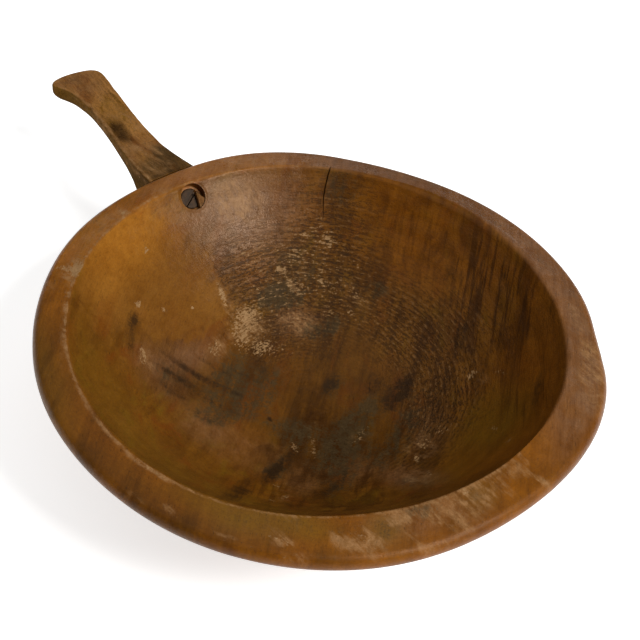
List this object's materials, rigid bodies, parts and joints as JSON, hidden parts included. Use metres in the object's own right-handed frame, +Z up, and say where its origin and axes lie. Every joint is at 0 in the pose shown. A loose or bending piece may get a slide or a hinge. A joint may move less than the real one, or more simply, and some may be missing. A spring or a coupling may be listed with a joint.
{
  "type": "wooden bowl with handle",
  "caption": "Wide, shallow turned wooden bowl with a broad sloping rim, a flat foot and a separate flared handle held by a countersunk screw from inside.",
  "frame": {"origin": "centre of the flat foot's underside, the face that the bowl rests on", "axes": "+X along the handle, away from the bowl; +Z up, out of the open bowl; +Y to the left of the handle seen from above"},
  "size_m": [0.3963, 0.2796, 0.0705],
  "materials": {
    "bowl_wood": "worn, oiled and darkened by use",
    "handle_wood": "worn smooth by the hand, with dark stains",
    "screw_steel": "dark and dull with age",
    "plug_wood": "raw and broken"
  },
  "bodies": {
    "root": {"bowl": "bowl_wood", "handle": "handle_wood", "handle_screw": "screw_steel", "plug_remnant": "plug_wood"}
  },
  "joints": []
}
